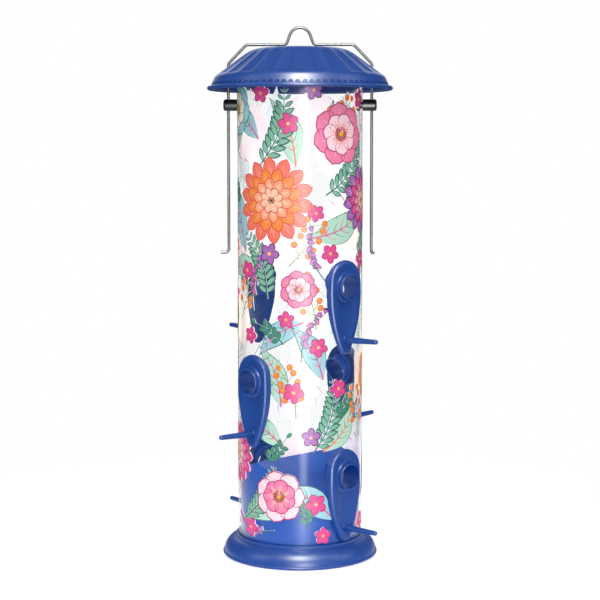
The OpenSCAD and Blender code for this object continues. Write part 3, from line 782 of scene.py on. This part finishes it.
def bell_spray(at, turn, long, inks=("plum", "violet", "rose"), count=6, size=7.5, sag=-0.14):
    spine = placed(bow(long, sag * long, 16), at, turn)
    put("pine", ribbon(spine, 1.0, 0.5))
    for k in range(count):
        j = 4 + int(12 * k / count)
        side = -1 if k % 2 else 1
        tip = placed([(side * long * 0.10, long * 0.05)], spine[j], turn)[0]
        put("pine", ribbon([spine[j], tip], 0.7, 0.5))
        bell(tip, turn + side * 62, size * (1 - 0.05 * k), inks)
    bell(spine[-1], turn, size * 0.75, inks)


def twig(at, turn, long, ink="fern", pairs=4, leaf=6.5):
    spine = placed(bow(long, 0.1 * long, 12), at, turn)
    put("pine", ribbon(spine, 0.9, 0.4))
    for k in range(pairs):
        j = 2 + int(9 * k / pairs)
        for side in (-1, 1):
            a = turn + side * 48
            for colour, grow in (("pine", 0.9), (ink, 0)):
                put(colour, placed(petal(leaf + grow, leaf * 0.52 + grow, widest=0.5, steps=6),
                                   spine[j], a))
    put(ink, placed(petal(leaf, leaf * 0.52, widest=0.5, steps=6), spine[-1], turn))


# %% [markdown]
# ### The layout
# Big flowers come first in the eye, so they are spread over the whole sheet. Long leaves and
# fronds fan out from behind them, and sprays and small flowers fill what is left. What lies
# behind is drawn on a lower level.

# %% Lay the motifs out on the sheet
def on(level, motif, *values):
    LEVEL[0] = level
    sheet.append(None)      # a new motif starts here
    motif(*values)


COOL, MINT = ("pine", "sky", "magenta"), ("fern", "mint", "magenta")
LIME = ("fern", "mint", "coral")
VIOLET = ("plum", "violet", "blush", "magenta", "rose")
GOLD = ("ochre", "amber", "cream", "apricot", "peach")
PINK = ("deep_magenta", "magenta", "blush", "rose", "blush")
BLUSH = ("deep_magenta", "blush", "rose", "plum")
STRAW = ("ochre", "apricot", "cream", "plum")
AQUA = ("fern", "sky", "cream", "pine")

# behind: leaves and fronds
for place in ((-50, 250, 38, 74, 25, COOL), (8, 262, -62, 64, 22, MINT),
              (-2, 318, 24, 58, 19, LIME), (-30, 236, 96, 50, 18, LIME),
              (4, 196, 128, 46, 17, COOL), (-14, 128, 24, 52, 18, MINT),
              (20, 92, -38, 50, 18, LIME), (-34, 340, 60, 46, 17, COOL),
              (-6, 44, 104, 48, 17, MINT), (30, 36, 62, 54, 20, COOL),
              (-66, 330, 8, 56, 20, LIME), (20, 150, 34, 50, 18, COOL),
              (-12, 96, 66, 48, 17, MINT), (70, 262, 20, 70, 24, COOL),
              (66, 130, -20, 62, 22, LIME), (74, 52, -8, 60, 21, COOL),
              (-78, 170, 16, 66, 23, MINT), (-72, 62, -14, 64, 22, COOL),
              (112, 300, -30, 66, 22, MINT), (150, 210, 26, 70, 24, COOL),
              (118, 150, -44, 60, 21, LIME), (140, 60, 20, 66, 22, COOL),
              (-112, 290, 30, 66, 23, COOL), (-140, 180, -26, 66, 22, MINT),
              (-110, 92, 40, 56, 20, LIME), (-150, 330, -10, 56, 20, COOL)):
    x, y, turn, long, wide, inks = place
    on(0, long_leaf, (x, y), turn, long, wide, inks)
for place in ((-34, 318, -20, 66, 26), (22, 296, -38, 62, 24), (-26, 214, 24, 58, 24),
              (12, 92, -16, 60, 24), (-52, 34, -34, 56, 22), (58, 320, 34, 58, 24),
              (56, 246, -30, 52, 22), (84, 190, 12, 60, 24), (98, 40, 18, 56, 22),
              (-88, 250, 14, 62, 24), (-96, 130, -20, 56, 22), (130, 330, 20, 52, 22),
              (138, 250, -24, 60, 24), (158, 118, 8, 60, 24), (-128, 244, 10, 60, 24),
              (-150, 96, 22, 60, 24), (-118, 30, -18, 56, 22), (-98, 330, 16, 54, 22)):
    x, y, turn, long, wide = place
    on(1, frond, (x, y), turn, long, wide)

# between: sprays and twigs
for place in ((-8, 240, -28, 46), (14, 190, 22, 46), (-58, 196, -12, 44), (-2, 120, 20, 42),
              (58, 100, 12, 42), (14, 352, -60, 40), (82, 330, -20, 44), (94, 118, 24, 44),
              (-84, 36, 10, 42), (-70, 236, 24, 44), (122, 206, 10, 46), (110, 366, 70, 36),
              (-106, 206, -12, 44), (-142, 40, 14, 44), (-132, 372, -80, 36), (150, 300, 10, 44)):
    x, y, turn, long = place
    on(2, berry_spray, (x, y), turn, long)
for place in ((-40, 204, -14, 44), (22, 228, 16, 40), (2, 164, -26, 42), (-66, 120, 10, 42),
              (64, 210, -8, 40), (-50, 352, 64, 40), (86, 88, -18, 42), (-20, 28, 78, 38),
              (120, 104, 12, 42), (-116, 160, 16, 42), (-90, 320, -34, 40), (146, 28, -30, 42),
              (104, 264, 22, 42), (-152, 286, 14, 42)):
    x, y, turn, long = place
    on(3, bell_spray, (x, y), turn, long)
for place in ((-12, 178, 58, 30), (30, 118, -40, 28), (-30, 84, -46, 28), (46, 280, 6, 30),
              (-62, 286, 30, 28), (6, 30, 8, 28), (74, 168, -50, 30), (-92, 96, 24, 28),
              (126, 176, 40, 30), (-132, 130, -36, 28), (152, 160, -10, 28), (-84, 372, -60, 26)):
    x, y, turn, long = place
    on(2, twig, (x, y), turn, long)

# in front: the flowers
for place in ((-22, 292, 34, 4, None), (66, 292, 27, 20, VIOLET), (-68, 86, 25, 9, PINK),
              (-96, 196, 28, 0, GOLD), (118, 262, 33, 12, None), (96, 70, 26, 5, VIOLET),
              (-140, 236, 30, 8, PINK), (156, 60, 27, 3, None), (-152, 130, 25, 0, VIOLET)):
    x, y, size, turn, inks = place
    on(4, dahlia, (x, y), size, turn, *([inks] if inks else []))
for place in ((36, 344, 25, 6, None), (-16, 56, 21, 14, BLUSH), (-66, 364, 22, 3, AQUA),
              (0, 222, 15, 9, None), (84, 150, 23, 2, STRAW), (-106, 346, 25, 12, None),
              (150, 360, 23, 4, BLUSH), (116, 132, 18, 8, None), (-112, 58, 22, 2, STRAW),
              (152, 190, 24, 10, AQUA)):
    x, y, size, turn, inks = place
    on(4, anemone, (x, y), size, turn, *([inks] if inks else []))
for place in ((-24, 250, 9), (26, 250, 8), (14, 282, 7), (-48, 236, 8), (-4, 140, 9),
              (16, 176, 8), (-10, 198, 7), (34, 142, 8), (10, 104, 8), (-44, 184, 7),
              (-8, 352, 9), (-32, 376, 8), (12, 378, 8), (60, 372, 8), (64, 244, 8),
              (14, 50, 9), (-44, 28, 8), (20, 24, 7), (66, 30, 8), (-74, 136, 8),
              (-88, 300, 8), (-72, 216, 7), (94, 228, 8), (92, 300, 7), (108, 188, 8),
              (-120, 200, 8), (-130, 300, 9), (-126, 110, 8), (132, 130, 8), (136, 86, 8),
              (128, 30, 9), (-96, 24, 8), (-132, 40, 8), (98, 352, 9), (-140, 352, 8)):
    x, y, size = place
    inks = (("deep_magenta", "magenta", "amber"), ("deep_coral", "orange", "plum"),
            ("plum", "violet", "amber"), ("pine", "sky", "orange"))[int(abs(x + y)) % 4]
    on(5, star_flower, (x, y), size, (x * 7) % 72, inks)
print(sum(shape is not None for shape in sheet), "shapes on the flat sheet")


# %% [markdown]
# ### From flat sheet to printed tube
# Each outline is filled with triangles, and the triangles are cut along upright lines a few
# millimetres apart, so that they can bend round the tube like paper. In a motif every shape lies
# a hair above the one before it, and each motif starts again from the height of its level.

# %% Fill the flat sheet
PRINT_LIFT = 0.04 * MM      # ink film above the plastic
SHAPE_STEP = 0.0012 * MM    # in a motif, each shape lies this much above the one before
LEVEL_STEP = 0.05 * MM      # and each level this much above the one below
STRIP = 3.0 * MM            # width of the strips that bend
PRINT_FOOT, PRINT_HEAD = 17.2 * MM, 392 * MM
inks_used = list(INKS)


def make_sheet(name, shapes):
    mesh = bmesh.new()
    for ink, outline, height in shapes:
        corners = [mesh.verts.new((x * MM, y * MM, height)) for x, y in outline]
        for a, b, c in tessellate_polygon([[Vector((x, y, 0)) for x, y in outline]]):
            face = mesh.faces.new((corners[a], corners[b], corners[c]))
            face.material_index = ink
    low = min(v.co.x for v in mesh.verts)
    high = max(v.co.x for v in mesh.verts)
    for k in range(math.ceil(low / STRIP), math.floor(high / STRIP) + 1):
        bmesh.ops.bisect_plane(mesh, geom=mesh.verts[:] + mesh.edges[:] + mesh.faces[:],
                               plane_co=(k * STRIP, 0, 0), plane_no=(1, 0, 0))
    for y, up in ((PRINT_FOOT, -1), (PRINT_HEAD, 1)):
        bmesh.ops.bisect_plane(mesh, geom=mesh.verts[:] + mesh.edges[:] + mesh.faces[:],
                               plane_co=(0, y, 0), plane_no=(0, up, 0), clear_outer=True)
    data = bpy.data.meshes.new(name)
    mesh.to_mesh(data)
    mesh.free()
    piece = bpy.data.objects.new(name, data)
    bpy.context.scene.collection.objects.link(piece)
    return piece


shapes = []
count = 0
for shape in sheet:
    if shape is None:
        count = 0
        continue
    ink, outline, level = shape
    shapes.append((inks_used.index(ink), outline,
                   PRINT_LIFT + level * LEVEL_STEP + count * SHAPE_STEP))
    count += 1
print_piece = make_sheet("floral_print", shapes)
print("flat print:", len(print_piece.data.polygons), "faces")


# %% [markdown]
# Behind a port's plate, and where a guide goes through the wall, the print is left out. The
# outline of each is laid flat. The faces that it touches are taken out as small copies, each
# copy is cut along the outline's sides, and what lies inside is thrown away.

# %% Cut the print away behind the plates and guides
TUCK = 0.4 * MM             # the print runs this far in under a plate's edge
SHORT_SIDE = 0.2 * MM       # sides shorter than this are left out of an outline
CELL = 10 * MM              # the faces are looked up in squares of this size


def flat_outline(name):
    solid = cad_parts[name]
    points = [solid.matrix_world @ vertex.co for vertex in solid.data.vertices]
    middle = sum(points, Vector((0, 0, 0))) / len(points)
    turn = math.atan2(middle.x, -middle.y)
    along = Vector((math.cos(turn), math.sin(turn), 0))
    flat = [((turn + math.asin(p.dot(along) / TUBE_R)) * TUBE_R, p.z) for p in points]
    return [Vector((*flat[k], 0)) for k in convex_hull_2d(flat)]


def side_planes(outline, inset):
    middle = sum(outline, Vector((0, 0, 0))) / len(outline)
    planes = []
    for a, b in zip(outline, outline[1:] + outline[:1]):
        away = (b - a).cross(Vector((0, 0, 1)))
        if away.length > SHORT_SIDE:
            away = away.normalized() * (1 if away.dot(middle - a) < 0 else -1)
            planes.append((a - away * inset, away))
    return planes


def faces_in_reach(mesh, outlines, planes):
    cells = {}
    for k, outline in enumerate(outlines):
        across, up = [c.x // CELL for c in outline], [c.y // CELL for c in outline]
        for i in range(int(min(across)) - 1, int(max(across)) + 2):
            for j in range(int(min(up)) - 1, int(max(up)) + 2):
                cells.setdefault((i, j), []).append(k)
    reach = [[] for _ in outlines]
    for face in mesh.faces:
        corner = face.verts[0].co
        for k in cells.get((corner.x // CELL, corner.y // CELL), ()):
            if not any(all((v.co - at).dot(away) > 0 for v in face.verts)
                       for at, away in planes[k]):
                reach[k].append(face)
                break
    return reach


def cut_copy(faces, planes):
    part = bmesh.new()
    copies = {}
    for face in faces:
        for vertex in face.verts:
            if vertex not in copies:
                copies[vertex] = part.verts.new(vertex.co)
        part.faces.new([copies[v] for v in face.verts]).material_index = face.material_index
    inside = part.faces[:]
    for at, away in planes:
        geom = set(inside)
        for face in inside:
            geom.update(face.edges, face.verts)
        made = bmesh.ops.bisect_plane(part, geom=list(geom), plane_co=at, plane_no=away)
        inside = [face for face in made["geom"] if isinstance(face, bmesh.types.BMFace)
                  and (face.calc_center_median() - at).dot(away) < 0]
    bmesh.ops.delete(part, geom=inside, context="FACES")
    data = bpy.data.meshes.new("cut_part")
    part.to_mesh(data)
    part.free()
    return data


def clear_holes(piece):
    turns = [Vector((k * 2 * math.pi * TUBE_R, 0, 0)) for k in (-1, 0, 1)]
    outlines = [[corner + turn for corner in flat_outline(name)]
                for name in PORTS + ["guide_left", "guide_right"] for turn in turns]
    planes = [side_planes(outline, TUCK) for outline in outlines]
    mesh = bmesh.new()
    mesh.from_mesh(piece.data)
    reach = faces_in_reach(mesh, outlines, planes)
    parts = [cut_copy(faces, sides) for faces, sides in zip(reach, planes) if faces]
    bmesh.ops.delete(mesh, geom=sum(reach, []), context="FACES")
    for part in parts:
        mesh.from_mesh(part)
        bpy.data.meshes.remove(part)
    mesh.to_mesh(piece.data)
    mesh.free()


clear_holes(print_piece)
print("print with its holes:", len(print_piece.data.polygons), "faces")


# %% [markdown]
# The pale coat is a copy of the print turned inwards. Its shapes lie further apart, as they are
# seen from afar through the tube. Then both are wrapped round the wall.

# %% Wrap the print and its coat round the tube
COAT_SPREAD = 2.5


def wrap_round(piece):
    for vertex in piece.data.vertices:
        x, y, height = vertex.co
        around, away = x / TUBE_R, TUBE_R + height
        vertex.co = (away * math.sin(around), -away * math.cos(around), y)


coat = bpy.data.objects.new("print_undercoat", print_piece.data.copy())
bpy.context.scene.collection.objects.link(coat)
for vertex in coat.data.vertices:
    vertex.co.z *= -COAT_SPREAD
wrap_round(coat)
wrap_round(print_piece)
for piece in (coat, print_piece):
    for face in piece.data.polygons:
        face.use_smooth = True
print("coat and print wrapped at radius", round(TUBE_R / MM, 1), "mm")


# %% [markdown]
# Screen-printing ink is a flat, slightly satin film, one pure colour with a skin like very fine
# orange peel. On clear plastic the printer also lays a pale coat next to the wall, or the colours
# would vanish. It is what shows of the far side's flowers from the front. Its pale tints and its
# glow are painted light: they stand in for the bright paper behind the tube shining through the
# coat, and the coat glows by emission though it is no lamp.

# %% Screen-printing inks and their pale coat, with painted backlight
def ink_film(name, colour, rough, glow=0.0):
    material, tree = new_material(name)
    where = add_node(tree, "ShaderNodeTexCoord")
    peel = add_node(tree, "ShaderNodeTexNoise", None, {"Vector": where.outputs["Object"]},
                    Scale=1 / (0.7 * MM), Detail=2.0, Roughness=0.5)
    gloss = add_node(tree, "ShaderNodeMapRange", None, {"Value": peel.outputs["Fac"]})
    gloss.inputs["To Min"].default_value = rough * 0.85
    gloss.inputs["To Max"].default_value = rough * 1.2
    bump = add_node(tree, "ShaderNodeBump", None, {"Height": peel.outputs["Fac"]},
                    Strength=0.08, Distance=0.02 * MM)
    film = add_node(tree, "ShaderNodeBsdfPrincipled", None,
                    {"Roughness": gloss.outputs["Result"], "Normal": bump.outputs["Normal"]},
                    IOR=1.45, Base_Color=colour)
    # The glow is painted backlight: emission on a coat that is no lamp.
    if glow:
        film.inputs["Emission Color"].default_value = colour
        film.inputs["Emission Strength"].default_value = glow
    show(tree, film.outputs[0])
    return material


# Each ink family's pale tint on the coat, with its glow, is painted light shining through from
# behind.
PALE = {"pink": "#FCEAED", "warm": "#FDF0E5", "green": "#E9F4EE", "blue": "#E8F3F6",
        "violet": "#F3EBF5"}
FAMILY = {"coral": "pink", "deep_coral": "pink", "apricot": "warm", "peach": "warm",
          "orange": "warm", "amber": "warm", "ochre": "warm", "magenta": "pink",
          "deep_magenta": "pink", "rose": "pink", "blush": "pink", "mint": "green",
          "sage": "green", "fern": "green", "pine": "green", "sky": "blue",
          "violet": "violet", "plum": "violet", "cream": "warm", "stem": "green"}
painted_backlight_coats = {name: ink_film("undercoat_painted_backlight_" + name, linear(code), 0.6, 0.5) for name, code in PALE.items()}
for name in inks_used:
    print_piece.data.materials.append(ink_film("screen_ink_" + name, linear(INKS[name]), 0.42))
    coat.data.materials.append(painted_backlight_coats[FAMILY[name]])
for piece in (print_piece, coat):
    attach(piece, "feeder")
    print(piece.name, len(piece.data.polygons), "faces")
